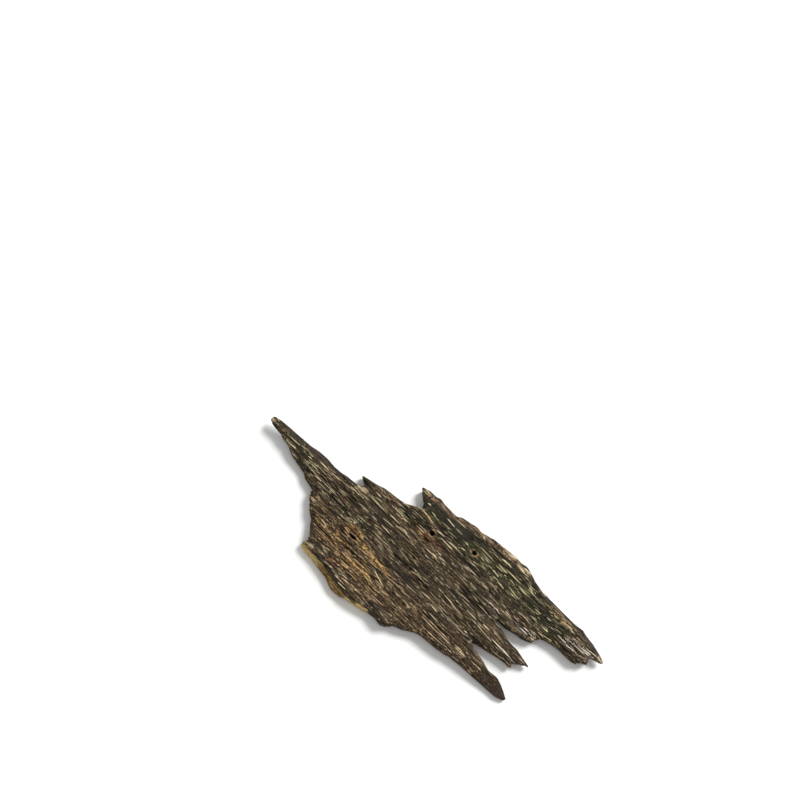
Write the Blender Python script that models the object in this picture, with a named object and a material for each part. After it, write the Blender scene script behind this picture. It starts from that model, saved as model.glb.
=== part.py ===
"""A flat chip of agarwood, split off along the grain, trimmed with a knife and lying on its underside.

+X runs along the grain from the long spike to the splintered lobes, +Y across the grain and +Z up.
The origin is under the middle of the piece's box, on the surface that it lies on. Lengths are in metres.
"""
import math

import bmesh
import bpy
import numpy as np
from mathutils import Vector
from mathutils.geometry import delaunay_2d_cdt

# Driving dimensions
PIECE_LENGTH = 0.120
BODY_THICKNESS = 0.0036
SPIKE_TIP_THICKNESS = 0.0020
LOBE_TIP_THICKNESS = 0.0023
THINNEST_EDGE = 0.0006
SPIKE_TAPER_START = -0.015
LOBE_TAPER_START = 0.012

# The underside rests between the foot's two ends and bows up beyond them, least at the lower lobe
FOOT_START = -0.030
FOOT_END = 0.022
SPIKE_LIFT = 0.0024
SPIKE_BOW = 1.7
LOBE_LIFT = 0.0012
LOBE_BOW = 1.5
LOWER_LOBE_SHARE = 0.35
LOWER_LOBE_Y = -0.010
RIGHT_LOBE_Y = 0.008

# Edges, all round the piece
EDGE_WIDTH = 0.0008
TOP_EDGE_DROP = 0.00040
UNDER_EDGE_RISE = 0.00045

# Spacing of the surface's points, which lie further apart along the grain than across it
TOP_STEP_ALONG = 0.0017
TOP_STEP_ACROSS = 0.00058
UNDER_STEP_ALONG = 0.0060
UNDER_STEP_ACROSS = 0.0024
INSET_STEP = 0.00085
INSET_ROOM = 0.85
TOP_CLEARANCE = 0.0005
UNDER_CLEARANCE = 0.0013
POINT_GAP = 0.00032
BORE_MARGIN = 0.00023
JOIN_TOLERANCE = 1e-9

# The reference picture: the grain falls to the lower right, and the camera looks down at a slant
PICTURE_GRAIN_ANGLE = math.radians(45.3)
PICTURE_CAMERA_HEIGHT = math.radians(72)
PICTURE_MIDDLE = 405
PICTURE_FOCAL_LENGTH = 1800

# The outline in the reference picture's pixels, clockwise in the picture from the spike's tip
SPIKE_FACET = [
    (271.6, 420.4), (272.6, 417.8), (275.8, 416.8), (283.0, 421.6), (298.5, 434.4), (311.0, 445.0),
    (320.2, 451.0), (328.6, 458.5), (335.0, 466.2), (341.3, 471.8),
]
SPIKE_ROOT = [(348.3, 476.5), (356.0, 483.2), (364.2, 487.6)]
SECOND_LOBE = [
    (364.4, 483.0), (362.4, 474.6), (378.0, 484.4), (385.0, 487.6), (401.7, 500.9), (407.3, 503.9),
    (420.7, 508.0), (422.8, 509.8),
]
THIRD_LOBE_TIP = [(424.2, 504.6), (422.8, 491.0), (423.6, 487.6), (427.0, 489.4), (432.0, 492.2)]
THIRD_LOBE_RIM = [
    (436.2, 496.6), (441.7, 499.2), (443.6, 503.0), (457.2, 517.0), (462.8, 517.9), (477.5, 526.6),
    (481.7, 532.0), (494.0, 539.0), (515.0, 555.4), (518.6, 558.7),
]
LONG_EDGE = [
    (521.6, 563.6), (526.4, 566.0), (529.0, 569.0), (537.4, 584.0), (549.1, 598.0), (560.0, 608.8),
    (576.0, 624.6), (583.4, 630.1),
]
RIGHT_LOBE_FACET = [(586.9, 635.2), (593.6, 643.9), (599.8, 654.2), (603.3, 661.4)]
RIGHT_LOBE_END = [
    (602.2, 663.5), (599.7, 662.8), (589.6, 657.2), (587.6, 658.0), (587.8, 661.0), (586.7, 663.0),
    (584.4, 663.7), (581.8, 663.2), (580.3, 661.6), (577.6, 662.6), (576.3, 661.0), (575.7, 663.7),
    (570.6, 660.7),
]
RIGHT_LOBE_UNDERSIDE = [
    (564.0, 654.0), (555.3, 646.4), (544.1, 639.2), (540.7, 638.0), (537.1, 638.0), (531.0, 641.8),
    (526.0, 639.6), (520.8, 637.2), (515.7, 633.0), (504.9, 626.4), (497.6, 618.4),
]
MIDDLE_LOBE = [
    (494.6, 619.0), (502.4, 630.1), (508.6, 640.8), (512.7, 645.9), (517.0, 649.6), (528.6, 666.4),
    (524.0, 664.2), (516.0, 663.4), (512.6, 661.8), (510.0, 667.4), (505.0, 661.8), (499.5, 657.6),
    (472.0, 640.4),
]
LOWER_LOBE_SIDE = [
    (471.0, 642.0), (473.4, 647.2), (481.1, 657.4), (488.4, 670.4), (497.2, 677.6), (500.4, 682.6),
]
LOWER_LOBE_END = [(504.0, 691.0), (506.2, 698.4), (503.4, 699.6), (495.6, 696.2), (486.5, 688.2)]
LOWER_EDGE = [
    (461.2, 665.0), (449.0, 655.6), (442.8, 652.6), (434.4, 646.4), (419.3, 633.4), (413.7, 631.2),
    (401.0, 628.4), (391.9, 624.4), (384.9, 625.6), (379.3, 623.5), (375.0, 617.2),
]
THIN_CUT = [(370.2, 613.2), (353.1, 603.2), (344.0, 596.6)]
PALE_CUT = [
    (338.4, 594.6), (333.5, 591.0), (330.0, 587.4), (325.0, 576.4), (313.2, 560.8), (302.8, 548.4),
    (301.0, 542.6),
]
LEFT_STEP = [
    (309.6, 538.0), (311.0, 517.0), (309.6, 510.0), (310.2, 503.0), (309.4, 496.0), (312.8, 489.4),
]
SPIKE_LEFT_EDGE = [
    (309.7, 484.4), (305.6, 478.4), (303.4, 471.0), (292.2, 455.6), (288.0, 444.6), (283.2, 438.8),
    (281.0, 434.0), (272.8, 424.4),
]
OUTLINE_RUNS = [
    SPIKE_FACET, SPIKE_ROOT, SECOND_LOBE, THIRD_LOBE_TIP, THIRD_LOBE_RIM, LONG_EDGE, RIGHT_LOBE_FACET,
    RIGHT_LOBE_END, RIGHT_LOBE_UNDERSIDE, MIDDLE_LOBE, LOWER_LOBE_SIDE, LOWER_LOBE_END, LOWER_EDGE,
    THIN_CUT, PALE_CUT, LEFT_STEP, SPIKE_LEFT_EDGE,
]

# Cut or broken slopes: the stretch of outline, how far in the slope reaches and how far it falls
SLOPES = [
    (SPIKE_FACET, 0.0023, 0.0012),
    (SPIKE_LEFT_EDGE, 0.0016, 0.0006),
    (THIRD_LOBE_RIM, 0.0019, 0.0008),
    (RIGHT_LOBE_FACET, 0.0026, 0.0011),
    (LOWER_LOBE_END, 0.0062, 0.0013),
    (PALE_CUT, 0.0024, 0.0017),
    (THIN_CUT, 0.0012, 0.0008),
    (LONG_EDGE, 0.0011, 0.0004),
]

# Split lines beside a lower layer of the wood: from and to (pixels), the step, how far the layer reaches
LEDGES = [
    ((360.0, 484.0), (412.0, 538.0), 0.00060, 0.0090),
    ((419.0, 505.5), (446.0, 540.0), 0.00055, 0.0070),
    ((309.0, 512.0), (352.0, 566.0), 0.00035, -0.0070),
    ((494.0, 617.0), (462.0, 583.0), 0.00035, 0.0050),
    ((470.5, 639.5), (438.0, 606.0), 0.00030, -0.0050),
]
LEDGE_HALF_WIDTH = 0.00013
LEDGE_STEP_ALONG = 0.0016
LEDGE_RUN_IN = 0.004
LEDGE_FADE_START = 0.6
LEDGE_FLAT_SHARE = 0.15

# Insect bores and their scars: middle (pixels), half length along the grain, half width, depth
BORES = [
    ((353.0, 537.5), 0.00165, 0.00045, 0.0020),
    ((432.0, 533.8), 0.00085, 0.00078, 0.0026),
    ((474.2, 553.4), 0.00092, 0.00078, 0.0026),
]
BORE_POINTS = 12
BORE_FLOOR_SCALE = 0.72
SCARS = [
    ((425.3, 539.6), 0.0016, 0.0007, 0.0008),
    ((440.0, 548.0), 0.0042, 0.0014, 0.00045),
    ((369.0, 551.0), 0.0060, 0.0016, 0.00040),
    ((474.5, 553.8), 0.0024, 0.0015, 0.00030),
    ((518.0, 600.0), 0.0050, 0.0013, 0.00030),
    ((380.0, 566.0), 0.0070, 0.0018, 0.00030),
    ((561.0, 624.0), 0.0045, 0.0012, 0.00035),
]

# Long low waves across the grain: spacing across, spacing of their wander along, height, phase
WAVES = [
    (0.0112, 0.070, 0.00016, 0.4),
    (0.0063, 0.046, 0.00013, 2.1),
    (0.0041, 0.033, 0.00011, 4.4),
    (0.0027, 0.024, 0.00009, 1.3),
]
WAVE_WANDER = 0.9
WAVE_SWELL = 0.6
WAVE_SWELL_STRETCH = 1.6

# Fibre bundles that stand up or are torn out
STRAND_SEED = 7
STRAND_COUNT = 190
STRAND_HALF_LENGTH = (0.0030, 0.0095)
STRAND_HALF_WIDTH = (0.0005, 0.0011)
STRAND_HEIGHT = (-0.00040, 0.00032)

WOOD_COLOUR = (0.095, 0.074, 0.046, 1.0)
WOOD_ROUGHNESS = 0.62
SHARP_ANGLE = math.radians(38)


def clear_scene():
    """Remove whatever the file opened with."""
    for thing in list(bpy.data.objects):
        bpy.data.objects.remove(thing, do_unlink=True)


def turn_to_plan(pixels):
    """Picture pixels as a plan view: the slant taken out and the grain turned to +X, still in pixels."""
    right, up = (np.asarray(pixels, float) - PICTURE_MIDDLE).T * [[1], [-1]]
    slant = math.sin(PICTURE_CAMERA_HEIGHT)
    shrink = slant - up / PICTURE_FOCAL_LENGTH * math.cos(PICTURE_CAMERA_HEIGHT)
    right, away = right * slant / shrink, up / shrink
    cosine, sine = math.cos(PICTURE_GRAIN_ANGLE), math.sin(PICTURE_GRAIN_ANGLE)
    return np.stack([right * cosine - away * sine, right * sine + away * cosine], axis=1)


WHOLE_OUTLINE = turn_to_plan([point for run in OUTLINE_RUNS for point in run])
PLAN_LOW, PLAN_HIGH = WHOLE_OUTLINE.min(axis=0), WHOLE_OUTLINE.max(axis=0)
METRES_PER_PIXEL = PIECE_LENGTH / (PLAN_HIGH[0] - PLAN_LOW[0])
PIECE_SIZE = (PLAN_HIGH - PLAN_LOW) * METRES_PER_PIXEL


def plan(pixels):
    """Picture pixels as metres in the piece's own frame, seen from above."""
    return (turn_to_plan(pixels) - (PLAN_LOW + PLAN_HIGH) / 2) * METRES_PER_PIXEL


def distance_to_line(points, line, closed=False):
    """How far each point lies from a line of straight stretches."""
    ends = np.roll(line, -1, axis=0) if closed else line[1:]
    starts = line if closed else line[:-1]
    nearest = np.full(len(points), np.inf)
    for start, end in zip(starts, ends):
        run = end - start
        along = np.clip((points - start) @ run / (run @ run), 0, 1)
        nearest = np.minimum(nearest, np.linalg.norm(points - start - along[:, None] * run, axis=1))
    return nearest


def inside(points, outline):
    """Which points lie inside a closed outline."""
    odd = np.zeros(len(points), bool)
    for (x0, y0), (x1, y1) in zip(outline, np.roll(outline, -1, axis=0)):
        crosses = (y0 > points[:, 1]) != (y1 > points[:, 1])
        reach = x0 + (points[:, 1] - y0) * (x1 - x0) / (y1 - y0 if y1 != y0 else 1)
        odd ^= crosses & (points[:, 0] < reach)
    return odd


def ramp(low, high, value):
    """0 below low, 1 above high and a smooth rise between."""
    share = np.clip((value - low) / (high - low), 0, 1)
    return share * share * (3 - 2 * share)


def underside_lift(points):
    """How far the underside bows up off the surface, towards the spike and towards the lobes."""
    x, y = points.T
    half = PIECE_LENGTH / 2
    towards_spike = np.clip((FOOT_START - x) / (half + FOOT_START), 0, 1)
    towards_lobes = np.clip((x - FOOT_END) / (half - FOOT_END), 0, 1)
    lobe_share = LOWER_LOBE_SHARE + (1 - LOWER_LOBE_SHARE) * ramp(LOWER_LOBE_Y, RIGHT_LOBE_Y, y)
    return SPIKE_LIFT * towards_spike ** SPIKE_BOW + LOBE_LIFT * lobe_share * towards_lobes ** LOBE_BOW


def thickness(points):
    """The wood's thickness before its edges, ridges and ledges: thinner towards the tips."""
    x = points[:, 0]
    half = PIECE_LENGTH / 2
    towards_spike = ramp(-SPIKE_TAPER_START, half, -x)
    towards_lobes = ramp(LOBE_TAPER_START, half, x)
    return (BODY_THICKNESS - (BODY_THICKNESS - SPIKE_TIP_THICKNESS) * towards_spike
            - (BODY_THICKNESS - LOBE_TIP_THICKNESS) * towards_lobes)


def wave_height(points):
    """Long low ridges along the grain, which wander from side to side and swell."""
    x, y = points.T
    height = np.zeros(len(points))
    for across, along, amplitude, phase in WAVES:
        wander = WAVE_WANDER * np.sin(2 * math.pi * x / along + phase)
        swell = 1 - WAVE_SWELL * (1 + np.sin(2 * math.pi * x / (WAVE_SWELL_STRETCH * along) + phase)) / 2
        height += amplitude * swell * np.sin(2 * math.pi * y / across + phase + wander)
    return height


def strand_height(points):
    """Fibre bundles that stand a little proud and grooves where others were torn out."""
    chance = np.random.default_rng(STRAND_SEED)
    height = np.zeros(len(points))
    for _ in range(STRAND_COUNT):
        middle = chance.uniform(-0.5, 0.5, 2) * PIECE_SIZE
        half_length = chance.uniform(*STRAND_HALF_LENGTH)
        half_width = chance.uniform(*STRAND_HALF_WIDTH)
        rise = chance.uniform(*STRAND_HEIGHT)
        away = points - middle
        near = 1 - (away[:, 0] / half_length) ** 2 - (away[:, 1] / half_width) ** 2
        height += rise * np.clip(near, 0, 1)
    return height


def ledge_drop(points):
    """The steps down to a lower layer beside each split line, fading out along the line and away from it."""
    drop = np.zeros(len(points))
    for start, end, step, reach in LEDGES:
        start, end = plan([start, end])
        length = np.linalg.norm(end - start)
        direction = (end - start) / length
        along = (points - start) @ direction
        aside = (points - start) @ np.array([-direction[1], direction[0]]) * math.copysign(1, reach)
        fade_along = ramp(-LEDGE_RUN_IN, 0, along) * (1 - ramp(LEDGE_FADE_START * length, length, along))
        fade_aside = 1 - ramp(LEDGE_FLAT_SHARE * abs(reach), abs(reach), aside)
        drop += np.where(aside > 0, step * fade_along * fade_aside, 0)
    return drop


def plan_outline():
    """The whole outline in metres, counter-clockwise seen from above."""
    return plan([point for run in OUTLINE_RUNS for point in run])[::-1]


def edge_share(points):
    """1 on the outline and 0 where the worn edge ends."""
    return np.clip(1 - distance_to_line(points, plan_outline(), closed=True) / EDGE_WIDTH, 0, 1)


def slope_drop(points):
    """The cut and broken slopes along the outline, and the small worn edge that runs all round."""
    drop = TOP_EDGE_DROP * edge_share(points)
    for run, width, fall in SLOPES:
        drop = np.maximum(drop, fall * np.clip(1 - distance_to_line(points, plan(run)) / width, 0, 1))
    return drop


def scar_drop(points):
    """Shallow hollows round the bores and where splinters came away."""
    drop = np.zeros(len(points))
    for middle, half_length, half_width, depth in SCARS:
        away = points - plan([middle])
        drop += depth * np.clip(1 - (away[:, 0] / half_length) ** 2 - (away[:, 1] / half_width) ** 2, 0, 1)
    return drop


def under_height(points):
    """The underside: flat where it rests, bowed up towards the tips, with a worn edge."""
    return underside_lift(points) + UNDER_EDGE_RISE * edge_share(points)


def top_height(points):
    """The upper face with its ridges, ledges, slopes and scars, never thinner than the thinnest edge."""
    surface = underside_lift(points) + thickness(points) + wave_height(points) + strand_height(points)
    surface -= ledge_drop(points) + slope_drop(points) + scar_drop(points)
    return np.maximum(surface, under_height(points) + THINNEST_EDGE)


def grid_inside(outline, step_along, step_across, clearance):
    """Staggered rows of points along the grain, clear of the outline."""
    low, high = outline.min(axis=0), outline.max(axis=0)
    rows = []
    for row, y in enumerate(np.arange(low[1], high[1], step_across)):
        xs = np.arange(low[0] + (row % 2) * step_along / 2, high[0], step_along)
        rows.append(np.stack([xs, np.full(len(xs), y)], axis=1))
    points = np.concatenate(rows)
    points = points[inside(points, outline)]
    return points[distance_to_line(points, outline, closed=True) > clearance]


def inset_row(outline, inset):
    """Points set in from each corner of the outline, where there is room for them."""
    back = outline - np.roll(outline, 1, axis=0)
    ahead = np.roll(outline, -1, axis=0) - outline
    back /= np.linalg.norm(back, axis=1)[:, None]
    ahead /= np.linalg.norm(ahead, axis=1)[:, None]
    inward = np.stack([-(back + ahead)[:, 1], (back + ahead)[:, 0]], axis=1)
    inward /= np.linalg.norm(inward, axis=1)[:, None]
    points = outline + inset * inward
    room = distance_to_line(points, outline, closed=True) > INSET_ROOM * inset
    return points[room & inside(points, outline)]


def ledge_rows(outline):
    """Pairs of points on both sides of each split line, so that its step comes out crisp."""
    rows = []
    for start, end, _, _ in LEDGES:
        start, end = plan([start, end])
        length = np.linalg.norm(end - start)
        direction = (end - start) / length
        aside = np.array([-direction[1], direction[0]]) * LEDGE_HALF_WIDTH
        along = np.arange(LEDGE_STEP_ALONG / 2, length, LEDGE_STEP_ALONG)[:, None] * direction
        rows += [start + along + aside, start + along - aside]
    points = np.concatenate(rows)
    return points[inside(points, outline) & (distance_to_line(points, outline, closed=True) > INSET_STEP / 2)]


def bore_ring(bore, scale):
    """The oval mouth of a bore, or its smaller floor."""
    middle, half_length, half_width, _ = bore
    turn = np.linspace(0, 2 * math.pi, BORE_POINTS, endpoint=False)
    oval = np.stack([half_length * np.cos(turn), half_width * np.sin(turn)], axis=1)
    return plan([middle]) + scale * oval


def outside_bores(points):
    """Which points lie clear of every bore's mouth."""
    clear = np.ones(len(points), bool)
    for middle, half_length, half_width, _ in BORES:
        along, across = (points - plan([middle])).T
        oval = (along / (half_length + 2 * BORE_MARGIN)) ** 2 + (across / (half_width + BORE_MARGIN)) ** 2
        clear &= oval > 1
    return clear


def thin_out(points, kept, gap):
    """The points that keep a gap to those already there, with the grain's direction counted as shorter."""
    squash = np.array([TOP_STEP_ACROSS / TOP_STEP_ALONG, 1.0])
    nearest = np.full(len(points), np.inf)
    for other in kept * squash:
        nearest = np.minimum(nearest, np.linalg.norm(points * squash - other, axis=1))
    return points[nearest > gap]


def join_points(points, edges):
    """Triangles between the points, longer along the grain than across it."""
    squash = TOP_STEP_ACROSS / TOP_STEP_ALONG
    flat = [Vector((x * squash, y)) for x, y in points]
    found = delaunay_2d_cdt(flat, edges, [], 0, JOIN_TOLERANCE)
    placed, triangles = found[0], found[2]
    if len(placed) != len(points):
        raise ValueError("two points or lines of the surface coincide")
    return triangles


def closed_edges(first, count):
    """The edges of a closed row of points."""
    return [(first + i, first + (i + 1) % count) for i in range(count)]


def top_face(outline):
    """Points, heights and fixed edges of the upper face, with its bores."""
    extra = np.concatenate([ledge_rows(outline), inset_row(outline, INSET_STEP)])
    extra = extra[outside_bores(extra)]
    grid = grid_inside(outline, TOP_STEP_ALONG, TOP_STEP_ACROSS, TOP_CLEARANCE)
    grid = thin_out(grid[outside_bores(grid)], extra, POINT_GAP)
    groups = [outline, extra, grid]
    heights = [top_height(group) for group in groups]
    edges = closed_edges(0, len(outline))
    count = sum(len(group) for group in groups)
    for bore in BORES:
        mouth, floor = bore_ring(bore, 1), bore_ring(bore, BORE_FLOOR_SCALE)
        depth = bore[3]
        edges += closed_edges(count, BORE_POINTS) + closed_edges(count + BORE_POINTS, BORE_POINTS)
        groups += [mouth, floor]
        heights += [top_height(mouth), np.full(BORE_POINTS, top_height(mouth).mean() - depth)]
        count += 2 * BORE_POINTS
    return np.concatenate(groups), np.concatenate(heights), edges


def under_face(outline):
    """Points, heights and fixed edges of the underside."""
    inset = inset_row(outline, INSET_STEP)
    grid = grid_inside(outline, UNDER_STEP_ALONG, UNDER_STEP_ACROSS, UNDER_CLEARANCE)
    points = np.concatenate([outline, inset, grid])
    return points, under_height(points), closed_edges(0, len(outline))


def add_face(body, face, outline):
    """Add one face of the piece to the mesh, and give back its outline's corners."""
    points, heights, edges = face
    corners = [body.verts.new((x, y, z)) for (x, y), z in zip(points, heights)]
    triangles = np.array(join_points(points, edges))
    middles = points[triangles].mean(axis=1)
    for triangle in triangles[inside(middles, outline)]:
        body.faces.new([corners[i] for i in triangle])
    return corners[:len(outline)]


def wood_material():
    """Dark resinous wood, dull with a slight sheen."""
    wood = bpy.data.materials.new("agarwood")
    wood.use_nodes = True
    shader = wood.node_tree.nodes["Principled BSDF"]
    shader.inputs["Base Color"].default_value = WOOD_COLOUR
    shader.inputs["Roughness"].default_value = WOOD_ROUGHNESS
    shader.inputs["Metallic"].default_value = 0.0
    wood.diffuse_color = WOOD_COLOUR
    return wood


def make_piece():
    """The chip as one closed body: its upper face, its underside and the broken edge between them."""
    outline = plan_outline()
    body = bmesh.new()
    upper = add_face(body, top_face(outline), outline)
    lower = add_face(body, under_face(outline), outline)
    for i in range(len(outline)):
        ahead = (i + 1) % len(outline)
        body.faces.new([lower[i], lower[ahead], upper[ahead], upper[i]])
    bmesh.ops.triangulate(body, faces=body.faces[:])
    bmesh.ops.recalc_face_normals(body, faces=body.faces[:])
    mesh = bpy.data.meshes.new("agarwood_piece")
    body.to_mesh(mesh)
    body.free()
    mesh.shade_smooth()
    mesh.set_sharp_from_angle(angle=SHARP_ANGLE)
    piece = bpy.data.objects.new("agarwood_piece", mesh)
    piece.data.materials.append(wood_material())
    bpy.context.collection.objects.link(piece)


clear_scene()
make_piece()
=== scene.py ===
import math

import bpy
import numpy as np
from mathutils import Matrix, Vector
from mathutils.bvhtree import BVHTree
from mathutils.kdtree import KDTree


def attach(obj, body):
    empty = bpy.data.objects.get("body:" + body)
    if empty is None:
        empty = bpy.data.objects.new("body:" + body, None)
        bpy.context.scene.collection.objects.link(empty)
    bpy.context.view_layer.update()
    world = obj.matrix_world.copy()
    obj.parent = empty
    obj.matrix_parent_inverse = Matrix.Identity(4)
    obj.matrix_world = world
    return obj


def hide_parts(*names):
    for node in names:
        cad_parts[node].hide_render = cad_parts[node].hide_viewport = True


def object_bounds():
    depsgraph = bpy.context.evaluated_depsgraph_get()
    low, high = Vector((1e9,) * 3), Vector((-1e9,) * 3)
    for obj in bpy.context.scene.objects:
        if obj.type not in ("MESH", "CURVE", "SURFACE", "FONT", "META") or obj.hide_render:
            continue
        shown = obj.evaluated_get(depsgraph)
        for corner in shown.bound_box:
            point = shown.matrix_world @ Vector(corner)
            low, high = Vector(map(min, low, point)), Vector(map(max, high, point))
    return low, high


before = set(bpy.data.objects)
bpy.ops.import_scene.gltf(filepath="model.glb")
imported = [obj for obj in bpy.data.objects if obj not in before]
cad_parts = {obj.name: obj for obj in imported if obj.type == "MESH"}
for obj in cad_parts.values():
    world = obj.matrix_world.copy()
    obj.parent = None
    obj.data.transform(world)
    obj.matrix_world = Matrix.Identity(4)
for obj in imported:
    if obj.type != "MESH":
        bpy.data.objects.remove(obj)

cad_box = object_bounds()

# The camera
# A long lens looks down on the chip from 72 degrees above the surface, which is a guess, with the whole
# photograph's frame: the chip takes the place and the size in it that it has there.
PHOTO_WIDTH = 810
PHOTO_MIDDLE = PHOTO_WIDTH / 2
LENS_MM = 80
SENSOR_MM = 36
FOCAL_LENGTH_PX = PHOTO_WIDTH * LENS_MM / SENSOR_MM
CAMERA_HEIGHT = math.radians(72)
GRAIN_IN_PHOTO = math.radians(45.3)
CAMERA_DISTANCE = 0.5393
AIM = Vector((-0.0350, 0.0321, 0.0029))
photo_right = Vector((math.cos(GRAIN_IN_PHOTO), math.sin(GRAIN_IN_PHOTO), 0))
photo_away = Vector((-math.sin(GRAIN_IN_PHOTO), math.cos(GRAIN_IN_PHOTO), 0))
towards_camera = Vector((0, 0, math.sin(CAMERA_HEIGHT))) - photo_away * math.cos(CAMERA_HEIGHT)
bpy.ops.object.select_all(action="DESELECT")
bpy.ops.object.camera_add(
    location=AIM + towards_camera * CAMERA_DISTANCE,
    rotation=(-towards_camera).to_track_quat("-Z", "Y").to_euler(),
)
camera = bpy.context.object
camera.name = "camera"
camera.data.lens = LENS_MM
camera.data.sensor_width = SENSOR_MM
camera.data.clip_start = 0.01
bpy.context.scene.camera = camera


def seen_at(pixels):
    """Pixels of the photograph as places on the chip, in metres along the grain (x) and across it (y)."""
    right, up = (np.asarray(pixels, float) - PHOTO_MIDDLE).T * [[1], [-1]]
    shrink = math.sin(CAMERA_HEIGHT) - up / FOCAL_LENGTH_PX * math.cos(CAMERA_HEIGHT)
    scale = CAMERA_DISTANCE / FOCAL_LENGTH_PX
    right, away = scale * right * math.sin(CAMERA_HEIGHT) / shrink, scale * up / shrink
    return np.outer(right, photo_right[:2]) + np.outer(away, photo_away[:2]) + AIM[:2]


# The chip of agarwood
# One thin chip of resin-soaked wood, split off along the grain and trimmed with a knife. It starts as a copy of
# the solid, which gets a finer skin, closer across the grain than along it, and then what the split left: fibre
# bundles that stand up or broke off, grooves where others were torn out, layered sides and ragged ends.
SKIN_SPACING = 0.000165
SKIN_STRETCH = 3.2
bpy.ops.object.select_all(action="DESELECT")
solid = bpy.data.objects["agarwood_piece"]
solid.select_set(True)
bpy.context.view_layer.objects.active = solid
bpy.ops.object.duplicate()
chip = bpy.context.object
chip.name = "agarwood_chip"
bpy.ops.object.mode_set(mode="EDIT")
bpy.ops.mesh.select_all(action="SELECT")
bpy.ops.mesh.remove_doubles(threshold=0.000001)
bpy.ops.transform.resize(value=(1 / SKIN_STRETCH, 1, 1), center_override=(0, 0, 0))
bpy.ops.object.mode_set(mode="OBJECT")
bpy.ops.object.modifier_add(type="REMESH")
skin = chip.modifiers[-1]
skin.mode = "VOXEL"
skin.voxel_size = SKIN_SPACING
bpy.ops.object.modifier_apply(modifier=skin.name)
bpy.ops.object.mode_set(mode="EDIT")
bpy.ops.mesh.select_all(action="SELECT")
bpy.ops.transform.resize(value=(SKIN_STRETCH, 1, 1), center_override=(0, 0, 0))
bpy.ops.object.mode_set(mode="OBJECT")
bpy.ops.object.shade_smooth()

mesh = chip.data
count = len(mesh.vertices)
place = np.empty(count * 3)
mesh.vertices.foreach_get("co", place)
x, y, z = place.reshape(-1, 3).T.copy()
facing = np.empty(count * 3)
mesh.vertices.foreach_get("normal", facing)
facing_x, facing_y, facing_z = facing.reshape(-1, 3).T


def ramp(low, high, value):
    """0 below low, 1 above high and a smooth rise between."""
    share = np.clip((value - low) / (high - low), 0, 1)
    return share * share * (3 - 2 * share)


ROW_COUNT = 257
CELL_COUNT = 64


def strands(along, across, length, width, seed, soft=0.5):
    """Noise from -1 to 1 in rows along the grain. Each row changes slowly along itself, and passes into the
    next within the share soft on either side of their border."""
    chance = np.random.default_rng(seed)
    levels = chance.uniform(-1, 1, (ROW_COUNT, CELL_COUNT))
    offsets = chance.uniform(0, CELL_COUNT, ROW_COUNT)
    first = np.floor(across / width).astype(int)
    second_share = ramp(0.5 - soft, 0.5 + soft, across / width - first)
    value = np.zeros(len(along))
    for row, share in ((first, 1 - second_share), (first + 1, second_share)):
        travel = along / length + offsets[row % ROW_COUNT]
        cell = np.floor(travel).astype(int)
        ahead = ramp(0, 1, travel - cell)
        here = levels[row % ROW_COUNT, cell % CELL_COUNT]
        there = levels[row % ROW_COUNT, (cell + 1) % CELL_COUNT]
        value += share * (here * (1 - ahead) + there * ahead)
    return value


def broken_rows(along, across, length, width, seed, soft=0.25):
    """Rows of fibre bundles that rise slowly and then break off, from 0 to 1, half of them the other way."""
    chance = np.random.default_rng(seed)
    heights = chance.uniform(0.15, 1, (ROW_COUNT, CELL_COUNT))
    stretches = chance.uniform(0.6, 1.6, ROW_COUNT)
    offsets = chance.uniform(0, CELL_COUNT, ROW_COUNT)
    turned = chance.random(ROW_COUNT) < 0.5
    first = np.floor(across / width).astype(int)
    second_share = ramp(0.5 - soft, 0.5 + soft, across / width - first)
    value = np.zeros(len(along))
    for row, share in ((first, 1 - second_share), (first + 1, second_share)):
        travel = along / (length * stretches[row % ROW_COUNT]) + offsets[row % ROW_COUNT]
        travel = np.where(turned[row % ROW_COUNT], -travel, travel)
        cell = np.floor(travel).astype(int)
        value += share * heights[row % ROW_COUNT, cell % CELL_COUNT] * (travel - cell) ** 2
    return value


# The grain wanders a little, and every strand follows it
LONG_SWAY = 0.0003
SHORT_SWAY = 0.0001
grain_y = y + LONG_SWAY * strands(x, y, 0.024, 0.009, 11) + SHORT_SWAY * strands(x, y, 0.009, 0.003, 12)

up = ramp(0.35, 0.75, facing_z)
down = ramp(0.35, 0.75, -facing_z)
side = 1 - up - down

# How far each point lies from the sides, seen from above
RIM_WIDTH = 0.0007
walls = np.flatnonzero(side > 0.6)
tree = KDTree(len(walls))
for i, wall in enumerate(walls):
    tree.insert((x[wall], y[wall], 0), i)
tree.balance()
rim_distance = np.array([tree.find((px, py, 0))[2] for px, py in zip(x, y)])
inner = ramp(0, RIM_WIDTH, rim_distance)


def distance_to_path(pixels):
    """How far each point of the chip lies from a line read off the photograph, seen from above."""
    path = seen_at(pixels)
    nearest = np.full(count, np.inf)
    for (start_x, start_y), (end_x, end_y) in zip(path[:-1], path[1:]):
        run_x, run_y = end_x - start_x, end_y - start_y
        along = np.clip(((x - start_x) * run_x + (y - start_y) * run_y) / (run_x ** 2 + run_y ** 2), 0, 1)
        nearest = np.minimum(nearest, np.hypot(x - start_x - along * run_x, y - start_y - along * run_y))
    return nearest


# Insect bores: middle (pixels), half length along the grain and half width
BORES = [
    ((353.0, 537.5), 0.00165, 0.00045),
    ((432.0, 533.8), 0.00085, 0.00078),
    ((474.2, 553.4), 0.00092, 0.00078),
]
bore_oval = np.full(count, np.inf)
for middle, half_length, half_width in BORES:
    middle_x, middle_y = seen_at([middle])[0]
    bore_oval = np.minimum(bore_oval, np.hypot((x - middle_x) / half_length, (y - middle_y) / half_width))
solid_wood = ramp(1.0, 1.5, bore_oval)

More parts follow.
